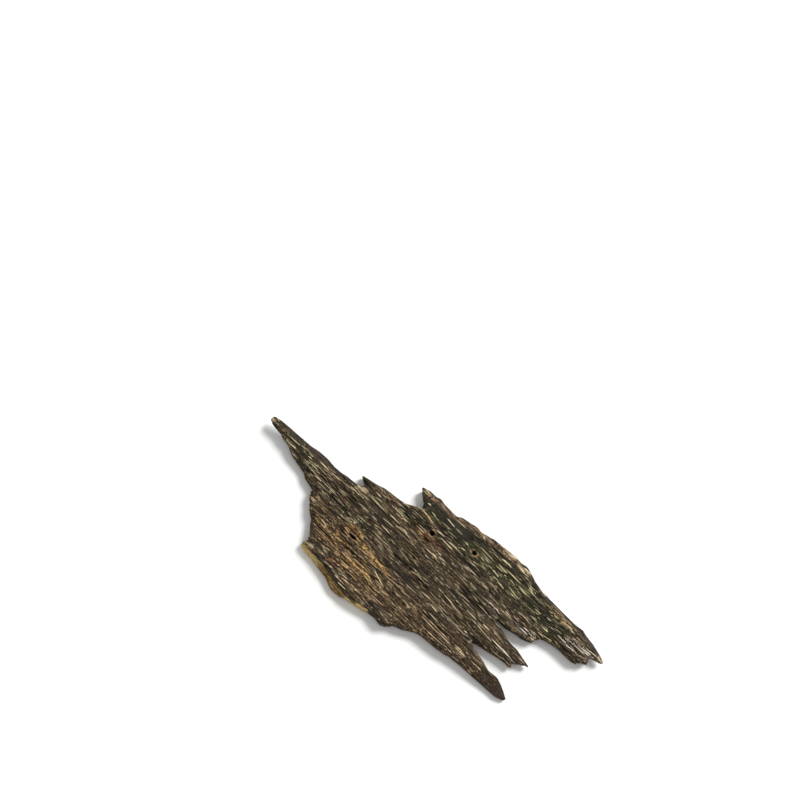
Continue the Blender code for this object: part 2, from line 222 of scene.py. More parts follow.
# Shallow hollows beside the bores, where the wood crumbled away: middle (pixels), half length, half width, depth
HOLLOWS = [
    ((354.3, 531.6), 0.0021, 0.0010, 0.00045),
    ((426.5, 540.0), 0.0013, 0.0005, 0.00035),
    ((437.0, 544.0), 0.0022, 0.0008, 0.00018),
]
crumbled, sunk = np.zeros(count), np.zeros(count)
for middle, half_length, half_width, depth in HOLLOWS:
    middle_x, middle_y = seen_at([middle])[0]
    share = up * (1 - ramp(0.6, 1.15, np.hypot((x - middle_x) / half_length, (y - middle_y) / half_width)))
    crumbled, sunk = np.maximum(crumbled, share), np.maximum(sunk, depth * share)

# Faces that a knife cut or that split clean, which keep little of the fibres' relief: path (pixels), half width
# and how smooth they are
SMOOTH_FACES = [
    ([(276, 418), (298, 435), (320, 452), (341, 472)], 0.0014, 0.7),
    ([(303, 546), (312, 557), (321, 567)], 0.0009, 0.8),
    ([(547, 597), (562, 612), (583, 631)], 0.0010, 0.8),
    ([(578, 624), (591, 639), (603, 657)], 0.0014, 1.0),
    ([(484, 678), (494, 688), (504, 697)], 0.0022, 0.6),
    ([(431, 503), (446, 515), (466, 534)], 0.0024, 0.65),
]
smooth = np.zeros(count)
for path, half_width, share in SMOOTH_FACES:
    smooth = np.maximum(smooth, share * (1 - ramp(0.6 * half_width, 1.2 * half_width, distance_to_path(path))))

# Grooves: where a strand was torn out, or a vessel lies open
top = np.flatnonzero(up > 0.2)
order = top[np.argsort(x[top])]
sorted_x = x[order]


def spindle(start, end, half_width):
    """The points of the upper face that a spindle covers, and how strongly, from 0 to 1."""
    low = np.searchsorted(sorted_x, min(start[0], end[0]) - half_width)
    high = np.searchsorted(sorted_x, max(start[0], end[0]) + half_width)
    near = order[low:high]
    run_x, run_y = end[0] - start[0], end[1] - start[1]
    length = math.hypot(run_x, run_y)
    along = ((x[near] - start[0]) * run_x + (grain_y[near] - start[1]) * run_y) / length ** 2
    aside = ((grain_y[near] - start[1]) * run_x - (x[near] - start[0]) * run_y) / length
    taper = np.clip(1 - (2 * along - 1) ** 2, 0, 1) ** 0.5
    strength = taper * np.clip(1 - (aside / (half_width * taper + 0.00001)) ** 2, 0, 1)
    hit = strength > 0
    return near[hit], strength[hit]


# Splits and scars read off the photograph: from and to (pixels) and half width
SEEN_GROOVES = [
    ((423.0, 536.5), (430.0, 543.0), 0.00036), ((429.0, 540.0), (437.0, 548.0), 0.00024),
    ((447.0, 512.0), (466.0, 531.0), 0.00026), ((371.5, 564.5), (406.0, 589.0), 0.00030),
    ((354.0, 553.0), (374.0, 579.0), 0.00028), ((455.0, 589.0), (496.0, 620.0), 0.00034),
    ((438.0, 607.0), (472.0, 642.0), 0.00034), ((404.0, 551.0), (431.0, 578.0), 0.00026),
    ((466.0, 560.0), (492.0, 583.0), 0.00026), ((512.0, 601.0), (538.0, 627.0), 0.00028),
    ((322.0, 488.0), (347.0, 513.0), 0.00028), ((388.0, 497.0), (412.0, 520.0), 0.00024),
]
GROOVES = [
    # how many, shortest and longest, thinnest and widest half width, weakest and strongest
    (420, 0.0025, 0.0100, 0.00018, 0.00036, 0.5, 1.0),
    (1800, 0.0010, 0.0050, 0.00011, 0.00021, 0.3, 0.8),
]
low_corner, high_corner = np.array(cad_box[0])[:2], np.array(cad_box[1])[:2]
GROOVE_SLANT = 0.03
chance = np.random.default_rng(20)
groove = np.zeros(count)
for number, short, long, thin, wide, weak, strong in GROOVES:
    for _ in range(number):
        middle = chance.uniform(low_corner, high_corner)
        length = chance.uniform(short, long)
        half_run = np.array([length, chance.normal(0, GROOVE_SLANT) * length]) / 2
        strength = chance.uniform(weak, strong)
        hit, share = spindle(middle - half_run, middle + half_run, chance.uniform(thin, wide))
        groove[hit] = np.maximum(groove[hit], strength * share)
groove *= 1 - 0.7 * smooth
for start, end, half_width in SEEN_GROOVES:
    hit, share = spindle(*seen_at([start, end]), half_width)
    groove[hit] = np.maximum(groove[hit], share)

# The upper face: fibre bundles with flat tops, broken bundles, fine fibres and the grooves
BUNDLE_HEIGHT = 0.00009
BROKEN_HEIGHT = 0.00021
FIBRE_HEIGHT = 0.00006
FINE_FIBRE_HEIGHT = 0.00004
GROOVE_DEPTH = 0.00022
relief = BUNDLE_HEIGHT * strands(x, grain_y, 0.014, 0.0012, 31, 0.22)
relief += BROKEN_HEIGHT * (broken_rows(x, grain_y, 0.0075, 0.00085, 32) - 0.2)
relief += FIBRE_HEIGHT * strands(x, grain_y, 0.006, 0.00047, 33, 0.3)
relief += FINE_FIBRE_HEIGHT * strands(x, grain_y, 0.004, 0.00031, 34)
relief -= GROOVE_DEPTH * groove
z += up * relief * (0.3 + 0.7 * inner) * (1 - 0.75 * smooth) * (0.3 + 0.7 * solid_wood) - sunk

# The underside keeps its flat foot: its hollows only reach up into the wood
HOLLOW_DEPTH = 0.00013
BROKEN_DEPTH = 0.00018
FINE_HOLLOW_DEPTH = 0.00006
hollow = HOLLOW_DEPTH * (0.5 + 0.5 * strands(x, grain_y, 0.012, 0.0010, 41, 0.3))
hollow += BROKEN_DEPTH * broken_rows(x, grain_y, 0.009, 0.0008, 42)
hollow += FINE_HOLLOW_DEPTH * (0.5 + 0.5 * strands(x, grain_y, 0.005, 0.0004, 43))
z += down * hollow * inner

# The sides: thin layers along the grain, and ragged fibre ends across it
LAYER_DEPTH = 0.00013
FINE_LAYER_DEPTH = 0.00006
FRAYED_LENGTH = 0.00045
FINE_FRAYED_LENGTH = 0.00022
layers = LAYER_DEPTH * strands(x, z, 0.011, 0.0005, 51, 0.25) + FINE_LAYER_DEPTH * strands(x, z, 0.006, 0.00024, 52)
frayed = FRAYED_LENGTH * strands(z, grain_y, 0.0007, 0.00046, 53, 0.3)
frayed += FINE_FRAYED_LENGTH * strands(z, grain_y, 0.0005, 0.00026, 54)
y += side * facing_y * layers * (1 - 0.7 * smooth)
x += side * facing_x * frayed * (1 - 0.7 * smooth)

mesh.vertices.foreach_set("co", np.stack([x, y, z], axis=1).ravel())
mesh.update()

# Where the wood differs in colour, read off the photograph: path, half width and strength of each patch
PATCHES = {
    "warm": [
        ([(330, 532), (348, 556), (368, 586)], 0.0036, 0.85),
        ([(312, 500), (326, 524)], 0.0028, 0.5),
        ([(365, 550), (394, 582)], 0.0013, 0.9),
        ([(420, 532), (430, 545)], 0.0014, 0.8),
        ([(405, 545), (418, 562)], 0.0012, 0.6),
        ([(551, 608), (562, 618), (573, 628)], 0.0010, 0.9),
        ([(395, 600), (440, 640)], 0.0030, 0.4),
    ],
    "gold": [
        ([(345.5, 528), (348, 531)], 0.0004, 1.0),
        ([(350, 525), (356.5, 528.5), (363, 538)], 0.0004, 1.0),
        ([(357.5, 539.5), (366, 548), (375, 560)], 0.0005, 1.0),
        ([(361, 562), (368, 577)], 0.0010, 0.75),
        ([(336, 553), (346, 566)], 0.0007, 0.75),
        ([(350, 560), (360, 572)], 0.0007, 0.8),
        ([(375, 560), (392, 580)], 0.0005, 0.7),
        ([(336, 535), (346, 545)], 0.0008, 0.5),
        ([(421, 508), (428, 516), (433, 524)], 0.00035, 0.7),
        ([(402, 519), (409, 527)], 0.0004, 0.5),
        ([(318, 519), (326, 527)], 0.0006, 0.5),
    ],
    "rust": [
        ([(350, 529), (357, 535)], 0.0006, 0.4),
        ([(331, 559), (341, 568)], 0.0007, 0.9),
        ([(342, 548), (349, 557)], 0.0006, 0.7),
        ([(346, 564), (353, 571)], 0.0005, 0.7),
        ([(424, 533), (431, 541)], 0.0007, 0.55),
        ([(433, 538), (441, 550)], 0.0006, 0.45),
        ([(306, 546), (313, 555)], 0.0004, 1.0),
        ([(384, 574), (392, 580)], 0.0006, 0.7),
        ([(348, 580), (372, 600)], 0.0012, 0.35),
    ],
    "ashen": [
        ([(566, 641), (581, 652), (599, 662)], 0.0017, 0.9),
        ([(518, 624), (528, 634), (535, 641)], 0.0013, 0.9),
        ([(536, 583), (546, 596)], 0.0008, 0.8),
        ([(500, 650), (514, 660), (527, 665)], 0.0012, 0.7),
        ([(484, 600), (500, 617)], 0.0014, 0.6),
        ([(402, 502), (412, 505), (421, 508)], 0.0005, 0.8),
    ],
    "green": [
        ([(430, 502), (470, 545)], 0.0030, 1.0),
        ([(404, 510), (425, 528)], 0.0016, 0.8),
        ([(470, 545), (520, 590), (560, 632)], 0.0042, 0.75),
        ([(290, 437), (318, 470)], 0.0016, 0.6),
        ([(345, 510), (372, 532)], 0.0016, 0.6),
        ([(318, 560), (325, 567)], 0.0007, 1.0),
    ],
    "brown": [
        ([(310, 500), (330, 545), (372, 600)], 0.0050, 0.6),
        ([(360, 560), (440, 640), (495, 690)], 0.0050, 0.6),
        ([(428, 494), (482, 531), (516, 556)], 0.0012, 1.0),
        ([(402, 503), (421, 508)], 0.0006, 1.0),
    ],
    "olive": [
        ([(302, 546), (309, 554), (316, 561), (320, 565)], 0.0008, 1.0),
        ([(344, 597), (366, 611)], 0.0006, 0.8),
    ],
    "amber": [
        ([(320, 567), (327, 579), (334, 589), (341, 596)], 0.0012, 1.0),
    ],
    "pale": [
        ([(303, 541), (312, 547)], 0.0006, 0.8),
        ([(360, 486), (366, 491)], 0.0008, 1.0),
        ([(510, 555), (517, 559)], 0.0004, 0.9),
        ([(518.5, 560), (522.5, 564.3)], 0.0004, 0.9),
        ([(519, 566), (529, 574)], 0.0005, 0.9),
        ([(562, 623), (567, 628)], 0.0006, 0.5),
        ([(490, 616.5), (496, 618.5)], 0.0004, 0.9),
        ([(469.5, 641), (473, 643)], 0.0004, 0.9),
        ([(598, 657), (602, 662)], 0.0004, 0.6),
        ([(531, 637), (535, 641)], 0.0004, 0.8),
        ([(424, 489), (428, 494)], 0.0006, 0.7),
        ([(272, 418), (275, 421)], 0.0005, 0.7),
        ([(402, 502), (412, 505), (421, 508)], 0.0003, 0.6),
    ],
    "rim": [
        ([(431, 495), (443, 503), (457, 518), (477, 529), (494, 541), (514, 557)], 0.0012, 1.0),
        ([(376, 487), (386, 492), (401, 503)], 0.0006, 0.8),
    ],
}
patches = {name: np.zeros(count) for name in PATCHES}
for name, places in PATCHES.items():
    for path, half_width, strength in places:
        weight = strength * (1 - ramp(0.4 * half_width, 1.6 * half_width, distance_to_path(path)))
        patches[name] = np.maximum(patches[name], weight)
# The inside of the bores, which gets painted shade, and the rim around them
bore = (1 - down) * (1 - ramp(0.8, 1.15, bore_oval))
bore_rim = up * ramp(0.9, 1.1, bore_oval) * (1 - ramp(1.2, 1.7, bore_oval))

# How much of a patch the sides and the underside keep
KEPT_BY_SIDES = {"pale": 0.15, "ashen": 0.3, "gold": 0.3, "rust": 0.4, "rim": 0.1}
KEPT_BELOW = {"pale": 0, "ashen": 0.6, "gold": 0.3, "rust": 0.3, "rim": 0}
for name in KEPT_BELOW:
    patches[name] *= up + KEPT_BY_SIDES[name] * side + KEPT_BELOW[name] * down
readings = dict(patches, groove=groove, smooth=smooth, crumbled=crumbled, bore=bore, bore_rim=bore_rim)
for name, values in readings.items():
    mesh.attributes.new(name, "FLOAT", "POINT").data.foreach_set("value", values.astype(np.float32))


def linear(sheet):
    """An sRGB hex colour as linear red, green, blue and alpha."""
    values = [int(sheet[i:i + 2], 16) / 255 for i in (1, 3, 5)]
    return [v / 12.92 if v <= 0.04045 else ((v + 0.055) / 1.055) ** 2.4 for v in values] + [1]


def add(material, kind, inputs=(), output=None, **settings):
    """Add a node with its settings and links, and return its first output or the named one. An input is a value or
    another node's output, given by its name or in the order of the node's sockets."""
    node = material.node_tree.nodes.new("ShaderNode" + kind)
    for name, value in settings.items():
        setattr(node, name, value)
    if isinstance(inputs, dict):
        filled = [(node.inputs[name], value) for name, value in inputs.items()]
    else:
        filled = zip([socket for socket in node.inputs if socket.enabled], inputs)
    for socket, value in filled:
        if isinstance(value, bpy.types.NodeSocket):
            material.node_tree.links.new(value, socket)
        else:
            socket.default_value = value
    outputs = {socket.name: socket for socket in node.outputs if socket.enabled}
    return outputs[output] if output else next(iter(outputs.values()), None)


GRAIN_SWAY = 0.0007


def wandering_grain(material):
    """Object coordinates, with the grain's lines wandering a little from side to side."""
    straight = add(material, "TexCoord", output="Object")
    sway = add(material, "TexNoise", (straight, 70.0, 1.0), "Color")
    sway = add(material, "VectorMath", (sway, (0.5, 0.5, 0.5)), operation="SUBTRACT")
    sway = add(material, "VectorMath", (sway, (0, GRAIN_SWAY, GRAIN_SWAY)), operation="MULTIPLY")
    return add(material, "VectorMath", (straight, sway), operation="ADD")


# Agarwood, split: black-brown resin between paler fibres, dull with a slight sheen where the resin lies open.
# Its vessels and strands are 0.2 to 0.5 mm wide and 1 to 6 mm long, which most of the patterns keep. Single
# fibres are 0.02 mm wide, too fine to show, so the grit, ridges and mottle that they give are drawn coarser.
wood = bpy.data.materials.new("resinous_agarwood")
wood.use_nodes = True
wood.node_tree.nodes.clear()
grain = wandering_grain(wood)
PATTERNS = {
    # length along the grain and width across it in mm, shift, detail, roughness, and how far it is moved aside in mm
    "breakup": (3.0, 0.5, 3.1, 3.0, 0.6, 0),
    "broad": (14.0, 3.5, 0.0, 2.0, 0.5, 0),
    "streak": (4.5, 0.27, 7.7, 4.0, 0.7, 0),
    "mottle": (1.1, 0.42, 2.2, 2.0, 0.6, 0),
    "grit": (0.48, 0.36, 53.0, 1.0, 0.6, 0),
    "hue": (1.5, 0.45, 43.0, 2.0, 0.5, 0),
    "tint": (2.0, 0.42, 59.0, 2.0, 0.5, 0),
    "tan": (5.0, 0.30, 11.3, 3.0, 0.62, 0),
    "long_flecks": (5.5, 0.26, 19.0, 4.0, 0.55, 0),
    # the long flecks moved aside, for the painted shadow beside each of them
    "beside_long_flecks": (5.5, 0.26, 19.0, 4.0, 0.55, 0.25),
    "short_flecks": (2.8, 0.21, 23.0, 4.0, 0.55, 0),
    # the short flecks moved aside, for the painted shadow beside each of them
    "beside_short_flecks": (2.8, 0.21, 23.0, 4.0, 0.55, 0.25),
    "fleck_tint": (6.0, 0.7, 29.0, 2.0, 0.5, 0),
    "shreds": (2.6, 0.30, 47.0, 3.0, 0.65, 0),
    "vessels": (7.0, 0.28, 31.0, 2.0, 0.5, 0),
    "ridges": (1.6, 0.14, 37.0, 3.0, 0.6, 0),
}
pattern = {}
for name, (length_mm, width_mm, shift, detail, roughness, aside_mm) in PATTERNS.items():
    scale = (1000 / length_mm, 1000 / width_mm, 1000 / width_mm)
    location = (shift, shift + aside_mm / width_mm, shift)
    mapped = add(wood, "Mapping", {"Vector": grain, "Location": location, "Scale": scale})
    pattern[name] = add(wood, "TexNoise", (mapped, 1.0, detail, roughness))

# Each patch as it was read off the photograph, broken up along the grain at its border, which is soft or firm
BORDERS = {"green": 0.25, "brown": 0.25, "warm": 0.4, "ashen": 0.4, "gold": 0.25, "rust": 0.25, "rim": 0.4,
           "pale": 0.25, "olive": 0.1, "amber": 0.15}
read = {name: add(wood, "Attribute", output="Fac", attribute_name=name) for name in readings}
breakup = add(wood, "MapRange", (pattern["breakup"], 0.3, 0.7, -0.35, 0.35))
share = {}
for name, softness in BORDERS.items():
    inside = add(wood, "MapRange", (read[name], 0, 0.2))
    broken = add(wood, "Math", (read[name], breakup), operation="ADD")
    broken = add(wood, "MapRange", (broken, 0.5 - softness, 0.5 + softness))
    share[name] = add(wood, "Math", (inside, broken), operation="MULTIPLY")

# The dark ground, greener or browner in places, and lighter and darker in streaks along the grain
where = add(wood, "MapRange", (pattern["broad"], 0.35, 0.65))
colour = add(wood, "Mix", (where, linear("#252016"), linear("#372D22")), data_type="RGBA")
for name, strength, tone in (("green", 0.85, "#1A1C0D"), ("brown", 0.65, "#3B2E22")):
    where = add(wood, "MapRange", (share[name], 0, 1, 0, strength))
    colour = add(wood, "Mix", (where, colour, linear(tone)), data_type="RGBA")
hue = add(wood, "MapRange", (pattern["hue"], 0.42, 0.58))
hue = add(wood, "Mix", (hue, linear("#ECFFDA"), linear("#FFE5E8")), data_type="RGBA")
colour = add(wood, "Mix", (1.0, colour, hue), data_type="RGBA", blend_type="MULTIPLY")
streaked = add(wood, "MapRange", (pattern["streak"], 0.33, 0.67, 0.34, 2.3))
mottled = add(wood, "MapRange", (pattern["mottle"], 0.3, 0.7, 0.6, 1.4))
tone = add(wood, "Math", (streaked, mottled), operation="MULTIPLY")
tone = add(wood, "CombineColor", (tone, tone, tone))
colour = add(wood, "Mix", (1.0, colour, tone), data_type="RGBA", blend_type="MULTIPLY")

# Tan strands that the resin only stained, more of them where the wood is warm or ashen
tan = pattern["tan"]
for region, more in ((share["warm"], 0.035), (read["smooth"], -0.08), (share["green"], -0.02),
                     (share["ashen"], 0.035), (pattern["grit"], 0.14)):
    tan = add(wood, "Math", (region, more, tan), operation="MULTIPLY_ADD")
warm_tan = add(wood, "MapRange", (pattern["tint"], 0.40, 0.60))
warm_tan = add(wood, "Mix", (warm_tan, linear("#6E4424"), linear("#C09C68")), data_type="RGBA")
tan_colour = linear("#6F5C46")
for name, tone in (("warm", warm_tan), ("gold", linear("#A47A40")), ("rust", linear("#7A4A2B")),
                   ("ashen", linear("#85705F"))):
    tan_colour = add(wood, "Mix", (share[name], tan_colour, tone), data_type="RGBA")
where = add(wood, "MapRange", (tan, 0.613, 0.73, 0, 0.8))
colour = add(wood, "Mix", (where, colour, tan_colour), data_type="RGBA")
where = add(wood, "MapRange", (read["smooth"], 0, 1, 0, 0.6))
colour = add(wood, "Mix", (where, colour, linear("#2C2725")), data_type="RGBA")

# Golden and rust-coloured wood around the bores
contrast = add(wood, "Math", (pattern["streak"], 0.65), operation="MULTIPLY")
contrast = add(wood, "Math", (pattern["mottle"], 0.35, contrast), operation="MULTIPLY_ADD")
crumbs = add(wood, "Math", (pattern["mottle"], 0.4), operation="MULTIPLY")
crumbs = add(wood, "Math", (pattern["grit"], 0.6, crumbs), operation="MULTIPLY_ADD")
crumbly = add(wood, "Math", (contrast, 0.5), operation="MULTIPLY")
crumbly = add(wood, "Math", (crumbs, 0.5, crumbly), operation="MULTIPLY_ADD")
STAINS = [
    # patch, its strength, between which values it goes from its dark to its light tone, and the two tones
    ("gold", 0.7, 0.45, 0.55, "#3A2815", "#BC9554"),
    ("rust", 0.7, 0.465, 0.54, "#24150D", "#825639"),
]
for name, strength, low, high, dark, light in STAINS:
    tone = add(wood, "MapRange", (crumbly, low, high))
    tone = add(wood, "Mix", (tone, linear(dark), linear(light)), data_type="RGBA")
    where = add(wood, "MapRange", (share[name], 0, 1, 0, strength))
    colour = add(wood, "Mix", (where, colour, tone), data_type="RGBA")

# Pale flecks, where strands without resin come to the surface, each with a painted shadow beside it: a dark line on
# its side away from the key light, and the grit over all
favour = 0.0
for region, more in ((share["ashen"], 0.03), (share["warm"], 0.035), (read["smooth"], -0.1),
                     (pattern["grit"], 0.1)):
    favour = add(wood, "Math", (region, more, favour), operation="MULTIPLY_ADD")
worn = add(wood, "MapRange", (pattern["mottle"], 0.35, 0.55, 0.45, 1))
fleck_share = 0.0
for name, begins, full in (("long_flecks", 0.680, 0.728), ("short_flecks", 0.685, 0.738)):
    # Painted shadow: the same flecks moved aside and darkened to near black beside each fleck
    beside = add(wood, "Math", (favour, pattern["beside_" + name]), operation="ADD")
    beside = add(wood, "MapRange", (beside, begins - 0.02, full, 0, 0.8))
    colour = add(wood, "Mix", (beside, colour, linear("#0D0B07")), data_type="RGBA")
    flecks = add(wood, "Math", (favour, pattern[name]), operation="ADD")
    flecks = add(wood, "MapRange", (flecks, begins, full))
    flecks = add(wood, "Math", (flecks, worn), operation="MULTIPLY")
    fleck_share = add(wood, "Math", (fleck_share, flecks), operation="MAXIMUM")
fleck_tint = add(wood, "MapRange", (pattern["fleck_tint"], 0.38, 0.64))
warm_tint = add(wood, "MapRange", (pattern["tint"], 0.42, 0.58))
fleck_colour = add(wood, "Mix", (fleck_tint, linear("#846D50"), linear("#DFCCA8")), data_type="RGBA")
for name, strength, tint, dark, light in (("green", 0.9, fleck_tint, "#7C7452", "#D8D0A2"),
                                          ("warm", 0.7, warm_tint, "#A8763F", "#D2BE90"),
                                          ("ashen", 1.0, fleck_tint, "#B8A694", "#F0E4D3")):
    tone = add(wood, "Mix", (tint, linear(dark), linear(light)), data_type="RGBA")
    where = add(wood, "MapRange", (share[name], 0, 1, 0, strength))
    fleck_colour = add(wood, "Mix", (where, fleck_colour, tone), data_type="RGBA")
colour = add(wood, "Mix", (fleck_share, colour, fleck_colour), data_type="RGBA")
grit = add(wood, "MapRange", (pattern["grit"], 0.3, 0.7, 0.35, 1.85))
grit = add(wood, "CombineColor", (grit, grit, grit))
colour = add(wood, "Mix", (1.0, colour, grit), data_type="RGBA", blend_type="MULTIPLY")

# The crumbly rims, bare pale wood and the two cut faces, then the open vessels with painted shade in the grooves, the
# crumbled hollows, the pale bore rims and painted shade inside the bores
FACES = [
    # patch, its strength, what varies it, between which values it goes from dark to light, and the two tones
    ("rim", 0.8, crumbly, 0.475, 0.555, "#241912", "#A28465"),
    ("pale", 0.9, pattern["shreds"], 0.38, 0.6, "#6A5640", "#CBB895"),
    ("olive", 1.0, contrast, 0.38, 0.58, "#6E5D33", "#D3BA7A"),
    ("amber", 1.0, contrast, 0.4, 0.6, "#5A4626", "#A5854C"),
]
for name, strength, varied_by, low, high, dark, light in FACES:
    tone = add(wood, "MapRange", (varied_by, low, high))
    tone = add(wood, "Mix", (tone, linear(dark), linear(light)), data_type="RGBA")
    where = add(wood, "MapRange", (share[name], 0, 1, 0, strength))
    colour = add(wood, "Mix", (where, colour, tone), data_type="RGBA")
# Dark open vessels, and painted shade in the grooves that the relief sinks: the groove reading pushes them to near
# black
vessels_and_painted_groove_shade = add(wood, "Math", (read["groove"], 0.35, pattern["vessels"]), operation="MULTIPLY_ADD")
vessels_and_painted_groove_shade = add(wood, "MapRange", (vessels_and_painted_groove_shade, 0.57, 0.66, 0, 0.85))
colour = add(wood, "Mix", (vessels_and_painted_groove_shade, colour, linear("#0E0C08")), data_type="RGBA")
tone = add(wood, "MapRange", (crumbs, 0.43, 0.58))
tone = add(wood, "Mix", (tone, linear("#20140C"), linear("#6E4C32")), data_type="RGBA")
where = add(wood, "MapRange", (read["crumbled"], 0.1, 0.9, 0, 0.85))
colour = add(wood, "Mix", (where, colour, tone), data_type="RGBA")
where = add(wood, "MapRange", (pattern["tint"], 0.42, 0.6, 0, 0.85))
where = add(wood, "Math", (read["bore_rim"], where), operation="MULTIPLY")
colour = add(wood, "Mix", (where, colour, linear("#A2815E")), data_type="RGBA")
# Painted shade: the inside of each bore near black
colour = add(wood, "Mix", (read["bore"], colour, linear("#0B0805")), data_type="RGBA")

# The fibres' fine ridges, and the sheen: duller where the wood is dry
height = add(wood, "Math", (vessels_and_painted_groove_shade, -0.5), operation="MULTIPLY")
for ridges, rise in ((fleck_share, 0.35), (pattern["streak"], 0.5), (pattern["ridges"], 0.45)):
    height = add(wood, "Math", (ridges, rise, height), operation="MULTIPLY_ADD")
RIDGE_HEIGHT = 0.00012
bump = add(wood, "Bump", {"Height": height, "Distance": RIDGE_HEIGHT, "Strength": 0.9})
dullness = add(wood, "MapRange", (pattern["streak"], 0.3, 0.7, 0.5, 0.72))
surface = add(wood, "BsdfPrincipled", {
    "Base Color": colour, "Roughness": dullness, "Specular IOR Level": 0.12, "Normal": bump,
})
add(wood, "OutputMaterial", {"Surface": surface})
chip.data.materials.clear()
chip.data.materials.append(wood)
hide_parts("agarwood_piece")
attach(chip, "root")

# The pale fibres
# Strands of lighter wood that the resin didn't soak: the split left them standing a little proud of the dark
# face, each grown into it. One tapered strand is modelled and copied along the grain, with its own bends.
bpy.ops.object.select_all(action="DESELECT")
bpy.ops.mesh.primitive_uv_sphere_add(segments=4, ring_count=6, radius=1, location=(0, 0, 0))
fibres_piece = bpy.context.object
fibres_piece.name = "pale_fibres"
bpy.ops.object.mode_set(mode="EDIT")
bpy.ops.mesh.select_all(action="SELECT")
bpy.ops.transform.rotate(value=math.radians(90), orient_axis="Y", center_override=(0, 0, 0))
bpy.ops.object.mode_set(mode="OBJECT")
strand = fibres_piece.data
strand_points = np.empty(len(strand.vertices) * 3)
strand.vertices.foreach_get("co", strand_points)
strand_points = strand_points.reshape(-1, 3)
strand_faces = [list(face.vertices) for face in strand.polygons]

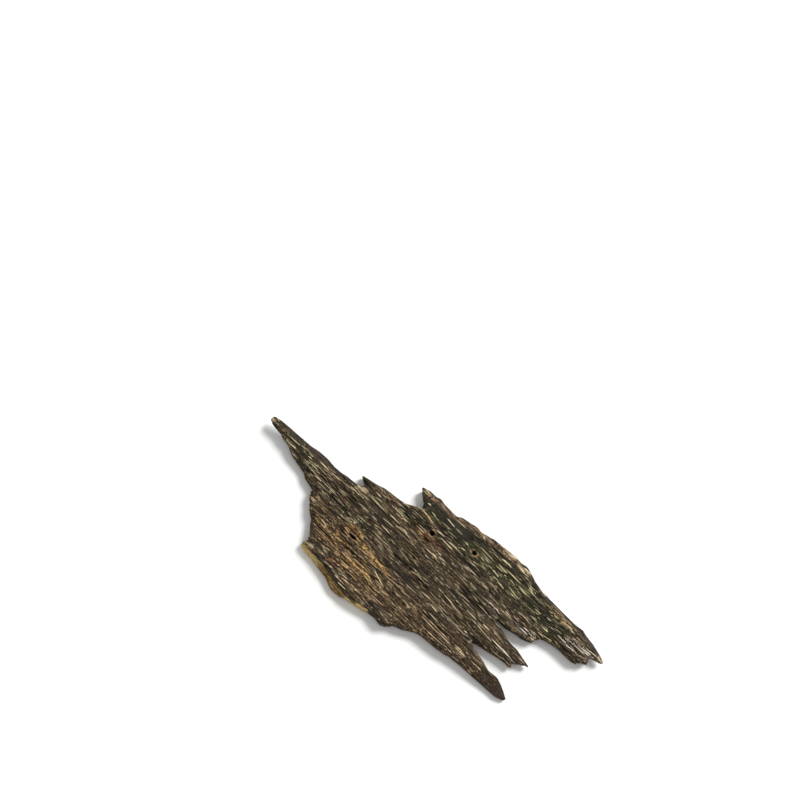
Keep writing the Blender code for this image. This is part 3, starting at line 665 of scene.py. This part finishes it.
# Notable fibres read off the photograph: from and to (pixels), half width, lightness from 0 to 1
SEEN_FIBRES = [
    ((276.4, 417.6), (280.0, 421.8), 0.00016, 0.5), ((286.6, 433.8), (296.8, 443.4), 0.00014, 0.6),
    ((292.0, 444.6), (296.8, 449.4), 0.00013, 0.5), ((304.0, 459.0), (310.0, 465.0), 0.00014, 0.8),
    ((308.8, 453.0), (313.6, 457.8), 0.00013, 0.5), ((319.6, 461.4), (329.2, 471.0), 0.00014, 0.9),
    ((313.6, 474.6), (322.0, 481.8), 0.00014, 0.8), ((334.0, 475.8), (341.2, 481.8), 0.00013, 0.5),
    ((367.8, 493.7), (386.7, 513.8), 0.00014, 0.7), ((389.6, 514.4), (400.5, 524.7), 0.00019, 1.0),
    ((402.8, 529.3), (407.4, 535.0), 0.00017, 0.9), ((391.3, 504.6), (404.0, 517.2), 0.00013, 0.5),
    ((409.7, 528.7), (415.4, 533.3), 0.00014, 0.6), ((418.9, 528.1), (424.1, 533.3), 0.00016, 0.8),
    ((357.5, 502.3), (369.5, 512.6), 0.00014, 0.5), ((381.6, 525.3), (390.2, 535.0), 0.00017, 0.8),
    ((350.0, 517.8), (357.5, 524.1), 0.00014, 0.7), ((374.1, 524.7), (378.7, 528.1), 0.00016, 0.7),
    ((447.0, 518.5), (455.1, 528.2), 0.00019, 0.9), ((455.1, 528.2), (462.2, 535.8), 0.00014, 0.5),
    ((435.6, 530.4), (444.3, 537.5), 0.00017, 0.8), ((440.5, 538.5), (452.9, 551.0), 0.00017, 0.9),
    ((448.6, 542.3), (457.8, 550.5), 0.00019, 1.0), ((461.1, 547.8), (464.9, 551.5), 0.00016, 1.0),
    ((465.4, 542.9), (468.1, 546.1), 0.00016, 0.8), ((431.8, 512.0), (436.1, 516.9), 0.00017, 0.7),
    ((427.5, 503.3), (431.3, 505.5), 0.00019, 0.8), ((431.8, 553.2), (437.2, 560.0), 0.00019, 0.9),
    ((438.3, 553.7), (441.6, 555.9), 0.00019, 0.9), ((482.8, 536.4), (484.9, 539.6), 0.00016, 0.8),
    ((452.9, 516.9), (467.0, 529.9), 0.00014, 0.6), ((480.0, 547.2), (493.0, 560.0), 0.00013, 0.6),
    ((505.0, 568.5), (521.5, 585.0), 0.00016, 0.9), ((519.0, 587.1), (526.8, 596.2), 0.00016, 0.8),
    ((508.5, 586.8), (518.0, 599.0), 0.00022, 0.6), ((529.6, 587.8), (534.1, 595.9), 0.00016, 0.8),
    ((539.7, 588.2), (546.4, 596.9), 0.00016, 0.8), ((510.3, 579.4), (515.5, 586.8), 0.00014, 0.6),
    ((505.0, 561.1), (512.0, 568.9), 0.00016, 0.8), ((402.5, 503.0), (412.0, 505.5), 0.00016, 0.7),
    ((412.0, 505.5), (421.0, 507.6), 0.00016, 0.6), ((421.8, 508.8), (427.5, 516.0), 0.00016, 0.7),
    ((427.0, 516.0), (433.0, 523.5), 0.00017, 0.7), ((372.5, 568.0), (384.0, 588.0), 0.00016, 0.9),
    ((341.0, 552.0), (353.0, 563.0), 0.00017, 0.7), ((321.0, 519.0), (326.5, 526.0), 0.00017, 0.8),
    ((548.8, 610.6), (560.0, 620.0), 0.00014, 1.0), ((560.0, 620.0), (573.0, 630.0), 0.00016, 0.8),
    ((542.5, 627.5), (548.0, 632.5), 0.00016, 0.9), ((557.5, 635.0), (565.0, 643.8), 0.00013, 0.8),
    ((565.0, 645.0), (575.0, 652.5), 0.00014, 0.9), ((575.0, 646.0), (585.0, 655.0), 0.00013, 1.0),
    ((580.0, 647.5), (591.5, 656.0), 0.00012, 1.0), ((582.5, 651.0), (591.0, 658.0), 0.00014, 0.9),
    ((585.0, 647.5), (598.0, 657.5), 0.00012, 0.9), ((520.0, 612.5), (532.5, 627.5), 0.00012, 0.8),
    ((505.0, 611.0), (512.5, 620.0), 0.00014, 0.9), ((520.0, 627.5), (527.5, 635.0), 0.00014, 0.9),
    ((530.0, 630.0), (536.0, 634.5), 0.00013, 0.8), ((540.0, 633.8), (553.0, 641.5), 0.00012, 0.7),
    ((527.5, 588.8), (541.0, 602.5), 0.00011, 0.7), ((543.0, 590.5), (550.0, 598.5), 0.00014, 0.9),
    ((552.0, 604.0), (566.0, 617.0), 0.00010, 0.5), ((550.0, 606.0), (572.0, 625.0), 0.00010, 0.6),
    ((535.0, 608.8), (541.0, 615.0), 0.00014, 0.9), ((530.0, 615.0), (535.6, 621.0), 0.00012, 0.8),
    ((283.8, 437.0), (296.5, 450.5), 0.00012, 0.8), ((291.0, 451.5), (298.0, 458.8), 0.00012, 0.7),
    ((302.0, 458.8), (319.0, 478.0), 0.00011, 0.6), ((321.8, 480.0), (337.0, 496.0), 0.00012, 0.8),
    ((330.5, 472.5), (342.0, 481.5), 0.00011, 0.6), ((320.5, 483.8), (332.0, 495.0), 0.00011, 0.6),
    ((312.0, 490.0), (318.5, 495.5), 0.00015, 0.9), ((310.0, 496.0), (317.5, 502.5), 0.00012, 0.8),
    ((336.8, 486.0), (347.0, 496.5), 0.00011, 0.6), ((344.0, 483.0), (354.5, 491.5), 0.00012, 0.7),
    ((303.0, 445.5), (316.5, 459.0), 0.00010, 0.4), ((443.8, 595.0), (455.5, 608.0), 0.00013, 0.9),
    ((466.0, 610.0), (477.0, 621.0), 0.00013, 0.9), ((471.0, 619.0), (487.0, 636.5), 0.00012, 0.8),
    ((482.5, 623.8), (489.5, 631.0), 0.00017, 1.0), ((490.0, 637.5), (508.5, 657.0), 0.00013, 1.0),
    ((500.0, 647.0), (511.0, 658.5), 0.00012, 0.8), ((421.0, 616.0), (437.0, 633.0), 0.00012, 0.6),
    ((425.5, 630.0), (443.5, 646.5), 0.00013, 0.8), ((427.5, 602.5), (446.0, 619.0), 0.00011, 0.7),
    ((448.8, 618.8), (466.0, 636.5), 0.00011, 0.5), ((455.0, 645.0), (463.0, 652.5), 0.00012, 0.7),
    ((475.0, 663.8), (481.5, 671.0), 0.00013, 0.8), ((500.0, 608.8), (511.0, 619.5), 0.00011, 0.7),
    ((470.0, 592.5), (479.5, 603.0), 0.00013, 0.8), ((478.8, 605.0), (488.0, 614.5), 0.00012, 0.7),
    ((511.0, 555.4), (517.6, 559.4), 0.00026, 1.0), ((518.8, 559.4), (522.8, 564.4), 0.00017, 1.0),
    ((501.5, 559.0), (508.0, 564.4), 0.00023, 0.8), ((498.4, 564.2), (507.6, 574.2), 0.00019, 0.7),
    ((519.0, 568.4), (525.0, 573.2), 0.00024, 1.0), ((524.2, 568.2), (531.4, 574.8), 0.00021, 1.0),
    ((503.4, 544.2), (508.4, 550.8), 0.00018, 0.8), ((497.0, 581.8), (503.6, 589.4), 0.00017, 0.8),
    ((489.8, 582.6), (497.0, 590.2), 0.00015, 0.8), ((492.0, 569.8), (499.0, 577.2), 0.00019, 0.7),
    ((304.8, 541.0), (313.8, 548.4), 0.00020, 0.8), ((318.0, 537.2), (321.4, 540.6), 0.00016, 0.9),
    ((321.8, 544.8), (325.6, 548.2), 0.00015, 0.9), ((326.4, 547.6), (330.4, 551.4), 0.00015, 0.8),
    ((335.0, 553.0), (338.4, 556.4), 0.00016, 0.9), ((323.6, 561.2), (329.8, 566.4), 0.00015, 0.6),
    ((334.6, 575.0), (338.4, 579.4), 0.00019, 0.9), ((341.0, 577.8), (349.4, 584.6), 0.00017, 0.7),
    ((337.2, 582.0), (345.8, 590.2), 0.00016, 0.8), ((345.0, 566.4), (347.6, 569.2), 0.00017, 0.9),
    ((329.2, 566.0), (331.8, 568.6), 0.00015, 0.8), ((338.2, 572.6), (341.0, 575.4), 0.00015, 0.8),
]
FIBRES = [
    # how many, shortest and longest, thinnest and widest half width, darkest and lightest
    (380, 0.0015, 0.0055, 0.00007, 0.00013, 0.3, 1.0),
    (1000, 0.0008, 0.0035, 0.00005, 0.00009, 0.0, 0.9),
]
SHORT_ONES_FAVOURED = 1.6
FIBRE_SLANT = 0.04
chance = np.random.default_rng(61)
strokes = []
for start, end, half_width, lightness in SEEN_FIBRES:
    start, end = seen_at([start, end])
    strokes.append(((start + end) / 2, end - start, half_width, lightness))
for number, short, long, thin, wide, dark, light in FIBRES:
    for _ in range(number):
        length = short + (long - short) * chance.random() ** SHORT_ONES_FAVOURED
        run = np.array([length, chance.normal(0, FIBRE_SLANT) * length])
        strokes.append((chance.uniform(low_corner, high_corner), run, chance.uniform(thin, wide),
                        chance.uniform(dark, light)))

chip_surface = BVHTree.FromPolygons([vertex.co[:] for vertex in mesh.vertices],
                                    [polygon.vertices[:] for polygon in mesh.polygons])
face_normals = np.array([polygon.normal[:] for polygon in mesh.polygons])
corner_of_face = np.array([polygon.vertices[0] for polygon in mesh.polygons])

# Each strand follows the face under it, and one that would leave the face or cross a bore is dropped
ABOVE = 0.02
BORE_CLEARANCE = 1.2
LEAST_FACING_UP = 0.6
MOST_SMOOTH = 0.5
BEND = 0.12
GIRTHS = (0.55, 1.2)
THICKNESSES = (0.75, 1.1)
SUNK_SHARE = 0.25
stations = np.unique(np.round(strand_points[:, 0], 4))
station_of_point = np.searchsorted(stations, np.round(strand_points[:, 0], 4))
all_points, all_faces = [], []
tints = {"lightness": [], "green": [], "warm": [], "ashen": []}
for number, (middle, run, half_width, lightness) in enumerate(strokes):
    seen = number < len(SEEN_FIBRES)
    heights, corners = [], []
    for station in stations:
        spot = middle + run / 2 * station
        hit, _, face, _ = chip_surface.ray_cast(Vector((*spot, ABOVE)), Vector((0, 0, -1)))
        if hit is None or bore_oval[corner_of_face[face]] < BORE_CLEARANCE:
            break
        if not seen and (face_normals[face][2] < LEAST_FACING_UP or smooth[corner_of_face[face]] > MOST_SMOOTH):
            break
        heights.append(hit.z)
        corners.append(corner_of_face[face])
    if len(heights) < len(stations):
        continue
    heights = np.array(heights)[station_of_point]
    bends = chance.normal(0, BEND, len(stations))[station_of_point] * half_width
    girths = chance.uniform(*GIRTHS, len(stations))[station_of_point]
    direction = run / np.linalg.norm(run)
    across = strand_points[:, 1] * half_width * girths + bends
    thick = half_width * chance.uniform(*THICKNESSES)
    points = np.empty_like(strand_points)
    points[:, 0] = middle[0] + run[0] / 2 * strand_points[:, 0] - direction[1] * across
    points[:, 1] = middle[1] + run[1] / 2 * strand_points[:, 0] + direction[0] * across
    points[:, 2] = heights + thick * (strand_points[:, 2] * girths - SUNK_SHARE * np.abs(strand_points[:, 0]) ** 3)
    first = len(all_points) * len(strand_points)
    all_faces += [[first + i for i in face] for face in strand_faces]
    all_points.append(points)
    tints["lightness"] += [lightness] * len(strand_points)
    for name in ("green", "warm", "ashen"):
        tints[name] += [patches[name][corners].mean()] * len(strand_points)
fibre_mesh = bpy.data.meshes.new("pale_fibres")
fibre_mesh.from_pydata(np.concatenate(all_points).tolist(), [], all_faces)
for name, values in tints.items():
    fibre_mesh.attributes.new(name, "FLOAT", "POINT").data.foreach_set("value", np.array(values, np.float32))
fibres_piece.data = fibre_mesh
bpy.ops.object.mode_set(mode="EDIT")
bpy.ops.mesh.select_all(action="SELECT")
bpy.ops.mesh.normals_make_consistent(inside=False)
bpy.ops.object.mode_set(mode="OBJECT")
bpy.ops.object.shade_smooth()

# Bare wood fibre, unsoaked: cream to tan and dull, darker where resin has stained it
fibre_wood = bpy.data.materials.new("unsoaked_wood_fibre")
fibre_wood.use_nodes = True
fibre_wood.node_tree.nodes.clear()
STAIN_LENGTH_MM, STAIN_WIDTH_MM, STAIN_SHIFT = 0.9, 0.25, 5.0
stain = add(fibre_wood, "Mapping", {
    "Vector": wandering_grain(fibre_wood), "Location": (STAIN_SHIFT, STAIN_SHIFT, STAIN_SHIFT),
    "Scale": (1000 / STAIN_LENGTH_MM, 1000 / STAIN_WIDTH_MM, 1000 / STAIN_WIDTH_MM),
})
stain = add(fibre_wood, "TexNoise", (stain, 1.0, 3.0, 0.6))
stain = add(fibre_wood, "MapRange", (stain, 0.3, 0.7, -0.3, 0.3))
lightness = add(fibre_wood, "Attribute", output="Fac", attribute_name="lightness")
stained = add(fibre_wood, "Math", (stain, lightness), operation="ADD")
stained = add(fibre_wood, "MapRange", (stained, 0, 1))
fibre_colour = add(fibre_wood, "Mix", (stained, linear("#5F4E38"), linear("#DDCAA4")), data_type="RGBA")
for name, dark, light in (("green", "#565136", "#D8D0A0"), ("warm", "#6E4A28", "#D2B684"),
                          ("ashen", "#8C7A6C", "#EFE3D2")):
    where = add(fibre_wood, "Attribute", output="Fac", attribute_name=name)
    tone = add(fibre_wood, "Mix", (stained, linear(dark), linear(light)), data_type="RGBA")
    fibre_colour = add(fibre_wood, "Mix", (where, fibre_colour, tone), data_type="RGBA")
surface = add(fibre_wood, "BsdfPrincipled", {
    "Base Color": fibre_colour, "Roughness": 0.75, "Specular IOR Level": 0.15,
})
add(fibre_wood, "OutputMaterial", {"Surface": surface})
fibres_piece.data.materials.append(fibre_wood)
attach(fibres_piece, "root")

# The surface and the light
# A plain white sheet of matt paper, wide enough to fill the view. One large round lamp lights it from the
# photograph's upper right, softly, and a white surround fills in the shadows.
FLOOR_SIZE = 4
bpy.ops.object.select_all(action="DESELECT")
bpy.ops.mesh.primitive_plane_add(size=FLOOR_SIZE, location=(0, 0, 0))
floor = bpy.context.object
floor.name = "floor"
paper = bpy.data.materials.new("white_paper")
paper.use_nodes = True
paper.node_tree.nodes["Principled BSDF"].inputs["Base Color"].default_value = linear("#F4F4F2")
paper.node_tree.nodes["Principled BSDF"].inputs["Roughness"].default_value = 0.9
floor.data.materials.append(paper)

KEY_HEIGHT = math.radians(40)
KEY_DISTANCE = 0.9
KEY_SIZE = 0.45
KEY_POWER = 11
SURROUND_STRENGTH = 0.55
key_from = (photo_right * 0.85 + photo_away * 0.5).normalized() * math.cos(KEY_HEIGHT)
key_from += Vector((0, 0, math.sin(KEY_HEIGHT)))
bpy.ops.object.light_add(
    type="AREA",
    location=key_from * KEY_DISTANCE,
    rotation=key_from.to_track_quat("Z", "Y").to_euler(),
)
key = bpy.context.object
key.name = "key_light"
key.data.shape = "DISK"
key.data.size = KEY_SIZE
key.data.energy = KEY_POWER
world = bpy.data.worlds.new("studio")
world.use_nodes = True
world.node_tree.nodes["Background"].inputs["Color"].default_value = (1, 1, 1, 1)
world.node_tree.nodes["Background"].inputs["Strength"].default_value = SURROUND_STRENGTH
bpy.context.scene.world = world
bpy.context.scene.view_settings.view_transform = "Standard"
